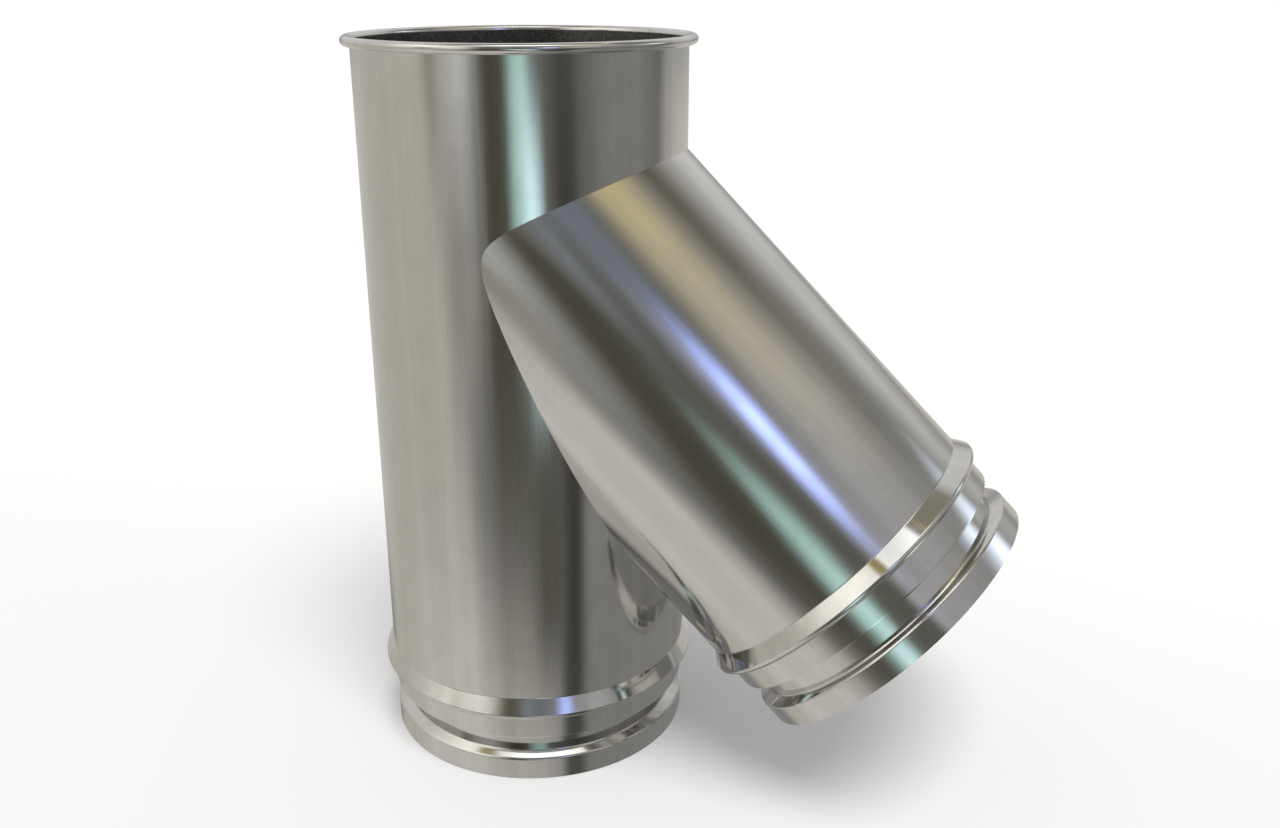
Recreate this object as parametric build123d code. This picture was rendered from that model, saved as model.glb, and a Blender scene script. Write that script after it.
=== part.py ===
"""Oblique duct tee: a straight run of thin stainless duct with a branch that leaves it at 45 degrees.

The run stands on its male end, with its axis on Z and the floor at Z = 0, and the branch leaves
towards +X and downwards. The top of the run is the female end, with its edge curled outwards.
Both lower ends are male: a formed ring is sleeved into the duct, and it carries the stop bead,
the groove for a sealing ring and the plain end band. Sizes are in millimetres and degrees.

plain_top is the plain wall between the branch and the top edge, and saddle_step is how much
smaller the branch is in radius than the run, so that its saddle seats on the run.
"""

from build123d import *

import os
from math import cos, radians, sin, tan

# Duct
run_bore = 200.0
duct_wall = 0.6
run_height = 456.0
plain_top = 66.2
branch_angle = 45.0
branch_length = 343.5
saddle_step = 0.8

# Curled edge of the female end
curl_radius = 3.0
curl_sweep = 305.0

# Male ends, with places measured from the open end
end_wall = 0.4
socket_clearance = 0.4
end_band = 14.7
groove_width = 15.3
groove_depth = 9.0
insertion = 46.5
bead_nose = 1.9
bead_face = 3.8
bead_flank = 9.7
bead_height = 6.0
bend_radius = 1.2
sleeve_overlap = 21.9

# Sizes that follow from the ones above
run_inner = run_bore / 2
run_outer = run_inner + duct_wall
branch_outer = run_outer - saddle_step
branch_inner = branch_outer - duct_wall
spigot_outer = run_inner - socket_clearance
duct_start = insertion + bead_face + bead_flank
branch_turn = radians(branch_angle)
branch_direction = Vector(sin(branch_turn), 0, -cos(branch_turn))
saddle_rise = branch_outer / sin(branch_turn) - run_outer / tan(branch_turn)
crossing = Vector(0, 0, run_height - plain_top - saddle_rise)
branch_end = crossing + branch_direction * branch_length

# Each male end has its own frame: the origin is at its open end and Z runs up the duct
run_frame = Plane.XY
branch_frame = Plane(origin=branch_end, x_dir=(0, 1, 0), z_dir=-branch_direction)


def rod(frame, radius, length):
    """A solid round bar from the open end of a duct along its axis."""
    return frame * extrude(Circle(radius), length)


def turned(section, frame):
    """A ring about the axis of a duct, from a section drawn as radius and height."""
    return frame * revolve(Plane.XZ * section, Axis.Z)


def run_duct():
    """The run, from its male end up to the curled edge, with the mouth for the branch."""
    curl_height = run_height - curl_radius
    curl_middle = (run_inner + curl_radius, curl_height)
    lower_edge = Line((run_outer, duct_start), (run_inner, duct_start))
    inner_wall = Line((run_inner, duct_start), (run_inner, curl_height))
    outer_wall = Line((run_outer, duct_start), (run_outer, curl_height))
    curl_face = CenterArc(curl_middle, curl_radius, 180, -curl_sweep)
    curl_back = CenterArc(curl_middle, curl_radius - duct_wall, 180, -curl_sweep)
    curl_tip = Line(curl_face @ 1, curl_back @ 1)
    section = make_face([lower_edge, inner_wall, curl_face, curl_tip, curl_back, outer_wall])
    return turned(section, run_frame) - rod(branch_frame, branch_inner, branch_length)


def branch_duct():
    """The branch, from its male end up to the saddle on the outside of the run."""
    ring = Circle(branch_outer) - Circle(branch_inner)
    sheet = branch_frame.offset(duct_start) * extrude(ring, branch_length - duct_start)
    return sheet - rod(run_frame, run_outer, run_height)


def male_end(duct_inner, frame):
    """A formed male end: sleeve, stop bead, neck, groove for a sealing ring and end band, in one sheet."""
    groove_radius = spigot_outer - groove_depth
    groove_end = end_band + groove_width
    bead_radius = spigot_outer + bead_height
    outside = FilletPolyline(
        (spigot_outer, 0),
        (spigot_outer, end_band),
        (groove_radius, end_band),
        (groove_radius, groove_end),
        (spigot_outer, groove_end),
        (spigot_outer, insertion),
        (bead_radius - bead_nose, insertion),
        (bead_radius, insertion + bead_nose),
        (bead_radius, insertion + bead_face),
        (duct_inner, duct_start - bend_radius / 2),
        (duct_inner, duct_start + sleeve_overlap),
        radius=bend_radius,
    )
    section = make_face(offset(outside, end_wall, side=Side.LEFT).edges())
    return turned(section, frame)


nodes = {
    "run_duct": run_duct(),
    "branch_duct": branch_duct(),
    "run_male_end": male_end(run_inner, run_frame),
    "branch_male_end": male_end(branch_inner, branch_frame),
}

os.makedirs("parts", exist_ok=True)
for name, solid in nodes.items():
    export_step(solid, f"parts/{name}.step")
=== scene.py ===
"""Looks of the oblique duct tee: stainless sheet in a studio with soft panels of light."""

from math import radians

import bpy
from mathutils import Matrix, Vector


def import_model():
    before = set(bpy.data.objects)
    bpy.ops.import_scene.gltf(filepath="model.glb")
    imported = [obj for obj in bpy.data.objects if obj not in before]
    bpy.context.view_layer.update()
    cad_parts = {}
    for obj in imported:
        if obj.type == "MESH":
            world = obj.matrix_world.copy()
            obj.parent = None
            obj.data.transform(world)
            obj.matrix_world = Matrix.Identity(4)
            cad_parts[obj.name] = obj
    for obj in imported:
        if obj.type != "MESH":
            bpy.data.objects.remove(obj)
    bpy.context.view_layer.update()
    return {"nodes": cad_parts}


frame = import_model()

# Places and sizes in metres that the looks share with the CAD model. Those of the male ends are
# measured from the open end.
CURL_START = 0.4530
DUCT_WALL = 0.0006
BRANCH_END = (0.24289, 0.0, 0.10637)
BRANCH_TURN = radians(45)
END_BAND = 0.0147
GROOVE_TOP = 0.0300
HALF_BEND = 0.0006

# The floor, with its glow towards the camera in front of the fitting and behind it
FLOOR_SIZE = 60.0
FLOOR_HEIGHT = -0.0004
FLOOR_COLOUR = (0.80, 0.796, 0.788)
FLOOR_GLOW = (0.26, 0.31)

# The light on everything that isn't a mirror, solved from the photograph's shadow on the floor
DOME_STRENGTH = 0.31
KEY_STRENGTH = 2.0
KEY_WIDTH = 29
KEY_DIRECTION = (-0.238, 0.340, -0.910)

# The photograph's camera, solved from the outlines
CAMERA_PLACE = (0.29340, -0.71998, 0.49476)
CAMERA_PITCH = 19.924
CAMERA_HEADING = 16.925
CAMERA_LENS = 34.952
SENSOR_WIDTH = 36.0


def linear(red, green, blue):
    """A display colour, 0 to 255, as the linear colour that a shader takes."""
    channels = [value / 255 for value in (red, green, blue)]
    return tuple(c / 12.92 if c <= 0.04045 else ((c + 0.055) / 1.055) ** 2.4 for c in channels)


class Tree:
    """Short ways to add and join shader nodes."""

    def __init__(self, owner):
        owner.use_nodes = True
        self.tree = owner.node_tree
        self.tree.nodes.clear()

    def add(self, kind, **settings):
        node = self.tree.nodes.new("ShaderNode" + kind)
        for name, value in settings.items():
            setattr(node, name, value)
        return node

    def join(self, source, target):
        """Links a socket, or writes a plain value, into a socket."""
        if isinstance(source, bpy.types.NodeSocket):
            self.tree.links.new(source, target)
        else:
            target.default_value = source

    def math(self, operation, *values):
        node = self.add("Math", operation=operation)
        for socket, value in zip(node.inputs, values):
            self.join(value, socket)
        return node.outputs[0]

    def vector(self, operation, *values):
        node = self.add("VectorMath", operation=operation)
        for socket, value in zip(node.inputs, values):
            self.join(value, socket)
        return node.outputs["Value"] if operation == "DOT_PRODUCT" else node.outputs[0]

    def ramp(self, value, low, high, start=0.0, end=1.0, smooth=True):
        """A value spread from start to end while the input goes from low to high."""
        node = self.add("MapRange", interpolation_type="SMOOTHSTEP" if smooth else "LINEAR")
        for socket, source in zip(node.inputs, (value, low, high, start, end)):
            self.join(source, socket)
        return node.outputs[0]

    def along(self, source):
        """The part of a vector that lies along Z."""
        split = self.add("SeparateXYZ")
        self.join(source, split.inputs[0])
        return split.outputs[2]

    def scaled(self, source, factor):
        node = self.add("VectorMath", operation="SCALE")
        self.join(source, node.inputs[0])
        self.join(factor, node.inputs["Scale"])
        return node.outputs[0]

    def turned(self, source, angle):
        """A vector turned about Y."""
        node = self.add("VectorRotate", rotation_type="Y_AXIS")
        self.join(source, node.inputs["Vector"])
        self.join(angle, node.inputs["Angle"])
        return node.outputs[0]

    def mix(self, share, first, second):
        node = self.add("Mix", data_type="RGBA")
        self.join(share, node.inputs[0])
        for socket, source in ((node.inputs[6], first), (node.inputs[7], second)):
            if not isinstance(source, bpy.types.NodeSocket):
                source = (*source, 1.0)
            self.join(source, socket)
        return node.outputs[2]

    def noise(self, place, scale, detail=2.0, roughness=0.5):
        node = self.add("TexNoise")
        self.join(place, node.inputs["Vector"])
        self.join(scale, node.inputs["Scale"])
        self.join(detail, node.inputs["Detail"])
        self.join(roughness, node.inputs["Roughness"])
        return node.outputs[0]

    def bump(self, height, strength, depth):
        node = self.add("Bump")
        self.join(strength, node.inputs["Strength"])
        self.join(depth, node.inputs["Distance"])
        self.join(height, node.inputs["Height"])
        return node


STEEL = (0.72, 0.71, 0.69)
DUCT_GLOSS = 0.095
MALE_END_GLOSS = 0.08

# How the inside differs from the polished outside: a share of the colour as painted shade inside the
# duct, and added roughness
INSIDE_PAINTED_SHADE = 0.42
INSIDE_DULLNESS = 0.22

# Strength and depth in metres of the fine relief and of the slow waves in the sheet
FINE_RELIEF = (0.35, 0.00002)
SLOW_WAVES = (0.5, 0.0001)

# Slopes by which shading leans outwards on the groove's lower wall and on the bend at its top,
# with the distances in metres from each at which it has ended and at which it is full
ROLL_OVER = 0.78
WALL_REACH = (0.0008, 0.0004)
FULL_LEAN = 6.0
BEND_REACH = (0.0010, 0.0007)


def groove_shading(t, place, normal, world_normal, on_branch):
    """The normal of a male end, with the bends of its groove shaded as rolled edges."""
    height = t.along(place)
    outward = t.vector("NORMALIZE", t.vector("MULTIPLY", place, (1.0, 1.0, 0.0)))

    # The groove's lower wall is shaded as if it rolled over into the end band, so it catches the light
    # from above
    off_wall = t.math("ABSOLUTE", t.math("SUBTRACT", height, END_BAND))
    on_wall = t.math("MULTIPLY", t.ramp(t.along(normal), 0.6, 0.9), t.ramp(off_wall, *WALL_REACH))

    # The small bend at the groove's upper edge is shaded as the neck above it
    off_bend = t.math("ABSOLUTE", t.math("SUBTRACT", height, GROOVE_TOP + HALF_BEND))
    faces_out = t.ramp(t.vector("DOT_PRODUCT", normal, outward), 0.05, 0.3)
    on_bend = t.math("MULTIPLY", t.ramp(off_bend, *BEND_REACH), faces_out)

    if on_branch:
        outward = t.turned(outward, -BRANCH_TURN)
    slope = t.math("ADD", t.math("MULTIPLY", on_wall, ROLL_OVER), t.math("MULTIPLY", on_bend, FULL_LEAN))
    return t.vector("NORMALIZE", t.vector("ADD", world_normal, t.scaled(outward, slope)))


def steel(name, gloss, on_branch=False, male_end=False):
    """Rolled and polished stainless sheet, with its grain along the duct that it belongs to."""
    material = bpy.data.materials.new(name)
    t = Tree(material)
    shader = t.add("BsdfPrincipled")
    output = t.add("OutputMaterial")
    t.join(shader.outputs[0], output.inputs[0])
    shader.inputs["Metallic"].default_value = 1.0

    # Place and normal in the duct's own frame, where Z runs up its axis from the open end
    place = t.add("TexCoord").outputs["Object"]
    world_normal = t.add("NewGeometry").outputs["Normal"]
    normal = world_normal
    if on_branch:
        shift = t.add("Mapping", vector_type="TEXTURE")
        shift.inputs["Location"].default_value = BRANCH_END
        shift.inputs["Rotation"].default_value = (0.0, -BRANCH_TURN, 0.0)
        t.join(place, shift.inputs["Vector"])
        place = shift.outputs[0]
        normal = t.turned(world_normal, BRANCH_TURN)

    def drawn_out(share):
        """The place with distances along the duct made short, for marks that run along it."""
        return t.vector("MULTIPLY", place, (1.0, 1.0, share))

    # Fine scratches, slow bands and roll lines all run along the duct
    grain = t.noise(drawn_out(0.03), 1400.0, detail=3.0, roughness=0.6)
    bands = t.noise(drawn_out(0.12), 26.0)
    roll_lines = t.noise(drawn_out(0.015), 120.0)
    smudges = t.noise(place, 34.0, detail=4.0, roughness=0.62)
    specks = t.noise(place, 900.0)

    tone = t.ramp(grain, 0.3, 0.7, 0.96, 1.03, smooth=False)
    tone = t.math("MULTIPLY", tone, t.ramp(bands, 0.3, 0.7, 0.97, 1.02))
    tone = t.math("MULTIPLY", tone, t.ramp(roll_lines, 0.3, 0.7, 0.97, 1.045))
    worn = t.mix(t.ramp(smudges, 0.42, 0.72), STEEL, tuple(0.95 * c for c in STEEL))
    lit = t.scaled(worn, tone)

    rough = t.math("ADD", gloss, t.ramp(grain, 0.25, 0.75, -0.015, 0.02, smooth=False))
    rough = t.math("ADD", rough, t.ramp(smudges, 0.4, 0.75, 0.0, 0.035))

    # Faces that look at the duct's axis get painted shade, darker and grainy, and are duller as rolled
    inside_shade_and_dullness = t.ramp(t.vector("DOT_PRODUCT", normal, drawn_out(0.0)), -0.002, -0.02)
    inside_shade_and_dullness = t.math("MULTIPLY", inside_shade_and_dullness, t.ramp(t.along(place), CURL_START, CURL_START - DUCT_WALL))
    # The inside's darker, speckled colour is painted shade
    painted_inside_shade = tuple(INSIDE_PAINTED_SHADE * c for c in STEEL)
    speckled_inside_shade = t.mix(t.ramp(specks, 0.42, 0.62), tuple(0.5 * c for c in painted_inside_shade), painted_inside_shade)
    lit = t.mix(inside_shade_and_dullness, lit, speckled_inside_shade)
    rough = t.math("ADD", rough, t.math("MULTIPLY", inside_shade_and_dullness, INSIDE_DULLNESS))

    t.join(lit, shader.inputs["Base Color"])
    t.join(rough, shader.inputs["Roughness"])

    relief = t.bump(t.math("ADD", grain, t.math("MULTIPLY", specks, 0.3)), *FINE_RELIEF)
    if male_end:
        t.join(groove_shading(t, place, normal, world_normal, on_branch), relief.inputs["Normal"])
    waves = t.bump(bands, *SLOW_WAVES)
    t.join(relief.outputs[0], waves.inputs["Normal"])
    t.join(waves.outputs[0], shader.inputs["Normal"])
    return material


looks = {
    "run_duct": steel("run steel", DUCT_GLOSS),
    "branch_duct": steel("branch steel", DUCT_GLOSS, on_branch=True),
    "run_male_end": steel("run end steel", MALE_END_GLOSS, male_end=True),
    "branch_male_end": steel("branch end steel", MALE_END_GLOSS, on_branch=True, male_end=True),
}
for node, material in looks.items():
    mesh = frame["nodes"][node].data
    for index in range(len(mesh.materials)):
        mesh.materials[index] = material


# The studio: one wide surround that only reflections see. Each soft panel on it is
# (azimuth, elevation, half width, half height, softness, display colour). Azimuth 0 is
# towards -Y, and it grows towards +X.
SURROUND_MIDDLE = (0.05, 0.0, 0.23)
SURROUND_RADIUS = 6.0
SURROUND_BASE = (117, 116, 113)
PANELS = [
    (-77.9, -4.0, 50.4, 99.0, 0.24, (165, 161, 151)),
    (171.8, 37.7, 105.0, 31.0, 0.44, (188, 186, 183)),
    (84.6, 7.2, 49.0, 26.9, 0.18, (154, 153, 152)),
    (76.3, -4.9, 57.3, 15.5, 0.12, (87, 85, 79)),
    (-168.5, -13.9, 58.2, 12.2, 0.33, (172, 169, 161)),
    (-25.5, -49.9, 57.4, 22.2, 0.32, (181, 177, 171)),
    (69.0, 67.8, 37.8, 21.6, 0.96, (192, 176, 114)),
    (119.6, 52.1, 25.8, 31.1, 0.98, (92, 89, 79)),
    (-7.9, 22.8, 14.1, 26.1, 0.98, (281, 279, 275)),
    (16.1, 33.2, 33.2, 14.6, 0.42, (92, 87, 71)),
    (46.8, -21.6, 8.3, 22.6, 0.67, (56, 55, 52)),
    (8.2, -2.6, 23.7, 28.6, 0.62, (67, 65, 55)),
    (25.0, -4.1, 14.3, 20.9, 0.62, (85, 85, 78)),
    (30.6, -26.3, 10.8, 5.8, 0.61, (76, 74, 67)),
    (18.4, -5.1, 5.8, 8.2, 0.83, (166, 199, 190)),
    (25.8, -11.2, 5.2, 5.6, 0.98, (228, 259, 262)),
    (37.6, 22.8, 10.5, 5.3, 0.98, (156, 158, 174)),
    (38.2, 23.4, 4.3, 5.8, 0.98, (232, 255, 346)),
    (-47.8, 41.9, 24.0, 23.8, 0.97, (250, 246, 235)),
    (-44.2, 60.8, 41.4, 6.3, 0.19, (139, 124, 76)),
    (-19.8, 72.0, 171.1, 11.7, 0.10, (270, 270, 267)),
    (-157.3, 82.2, 126.2, 21.3, 0.24, (122, 119, 105)),
    (112.0, 19.4, 10.0, 3.7, 0.93, (347, 366, 390)),
    (93.0, 4.8, 25.6, 17.9, 0.51, (117, 116, 113)),
    (23.6, 37.3, 17.7, 10.3, 0.62, (106, 111, 118)),
    (11.6, 23.4, 4.8, 8.0, 0.98, (114, 118, 122)),
    (19.4, 21.9, 4.1, 2.5, 0.98, (91, 93, 91)),
    (-25.3, -12.9, 8.9, 4.6, 0.98, (132, 129, 121)),
    (-40.4, 5.9, 4.8, 10.7, 0.89, (120, 115, 103)),
]


def surround():
    """A large ball with its panels painted by direction from its middle."""
    bpy.ops.mesh.primitive_uv_sphere_add(segments=64, ring_count=32, radius=SURROUND_RADIUS,
                                         location=SURROUND_MIDDLE)
    ball = bpy.context.object
    ball.name = "studio_surround"
    material = bpy.data.materials.new("studio panels")
    t = Tree(material)
    place = t.add("SeparateXYZ")
    t.join(t.vector("NORMALIZE", t.add("TexCoord").outputs["Object"]), place.inputs[0])
    x, y, z = place.outputs
    azimuth = t.math("DEGREES", t.math("ARCTAN2", x, t.math("MULTIPLY", y, -1.0)))
    elevation = t.math("DEGREES", t.math("ARCSINE", z))

    def mirrored(shown):
        """The light that the steel shows as this display colour."""
        return tuple(c / s for c, s in zip(linear(*shown), STEEL))

    colour = mirrored(SURROUND_BASE)
    for az, el, half_width, half_height, soft, shown in PANELS:
        aside = t.math("ABSOLUTE", t.math("WRAP", t.math("SUBTRACT", azimuth, az), 180.0, -180.0))
        above = t.math("ABSOLUTE", t.math("SUBTRACT", elevation, el))
        wide = t.ramp(aside, half_width * (1 + soft), half_width * (1 - soft))
        high = t.ramp(above, half_height * (1 + soft), half_height * (1 - soft))
        colour = t.mix(t.math("MULTIPLY", wide, high), colour, mirrored(shown))
    glow = t.add("Emission")
    t.join(colour, glow.inputs[0])
    # Light that the metal throws on the floor is left out, as in the photograph
    t.join(t.math("LESS_THAN", t.add("LightPath").outputs["Diffuse Depth"], 0.5), glow.inputs[1])
    output = t.add("OutputMaterial")
    t.join(glow.outputs[0], output.inputs[0])
    material.cycles.emission_sampling = "NONE"
    ball.data.materials.append(material)
    ball.visible_camera = False
    ball.visible_diffuse = False
    ball.visible_shadow = False
    ball.visible_transmission = False
    ball.visible_volume_scatter = False


def floor():
    """A wide pale floor. It keeps the shadow, and to the camera it glows a little, up to white."""
    bpy.ops.mesh.primitive_plane_add(size=FLOOR_SIZE, location=(0.0, 0.0, FLOOR_HEIGHT))
    ground = bpy.context.object
    ground.name = "studio_floor"
    material = bpy.data.materials.new("pale floor")
    t = Tree(material)
    cover = t.add("BsdfDiffuse")
    cover.inputs[0].default_value = (*FLOOR_COLOUR, 1.0)
    away = t.add("SeparateXYZ")
    t.join(t.add("TexCoord").outputs["Object"], away.inputs[0])
    lift = t.ramp(away.outputs[1], 0.0, 0.4, *FLOOR_GLOW)
    glow = t.add("Emission")
    glow.inputs[0].default_value = (1.0, 1.0, 1.0, 1.0)
    t.join(t.math("MULTIPLY", t.add("LightPath").outputs["Is Camera Ray"], lift), glow.inputs[1])
    both = t.add("AddShader")
    t.join(cover.outputs[0], both.inputs[0])
    t.join(glow.outputs[0], both.inputs[1])
    output = t.add("OutputMaterial")
    t.join(both.outputs[0], output.inputs[0])
    ground.data.materials.append(material)
    # The photograph's metal mirrors its studio from below too, and not the floor
    ground.visible_glossy = False


def world():
    """White to the camera and to mirrors and glass, and an even soft light on everything else."""
    sky = bpy.data.worlds.new("studio")
    bpy.context.scene.world = sky
    t = Tree(sky)
    path = t.add("LightPath")
    seen = t.math("MAXIMUM", path.outputs["Is Camera Ray"], path.outputs["Is Glossy Ray"])
    seen = t.math("MAXIMUM", seen, path.outputs["Is Transmission Ray"])
    soft = t.add("Background")
    soft.inputs[0].default_value = (1.0, 1.0, 1.0, 1.0)
    t.join(t.ramp(seen, 0.0, 1.0, DOME_STRENGTH, 1.0, smooth=False), soft.inputs[1])
    output = t.add("OutputWorld")
    t.join(soft.outputs[0], output.inputs[0])


def key_light():
    """A wide soft light from high on the right in front, where the photograph's shadow puts it."""
    light = bpy.data.lights.new("key", "SUN")
    light.angle = radians(KEY_WIDTH)
    light.energy = KEY_STRENGTH
    holder = bpy.data.objects.new("key", light)
    bpy.context.scene.collection.objects.link(holder)
    holder.rotation_euler = Vector(KEY_DIRECTION).to_track_quat("-Z", "Y").to_euler()
    # Its disc isn't mirrored: the surround's panels stand for what the metal shows
    holder.visible_glossy = False


def photo_camera():
    """The camera where the photograph was taken from."""
    eye = bpy.data.cameras.new("photo")
    eye.lens = CAMERA_LENS
    eye.sensor_width = SENSOR_WIDTH
    holder = bpy.data.objects.new("photo", eye)
    bpy.context.scene.collection.objects.link(holder)
    holder.location = CAMERA_PLACE
    holder.rotation_euler = (radians(90 - CAMERA_PITCH), 0.0, radians(CAMERA_HEADING))
    bpy.context.scene.camera = holder


surround()
floor()
world()
key_light()
photo_camera()
bpy.context.scene.view_settings.view_transform = "Standard"
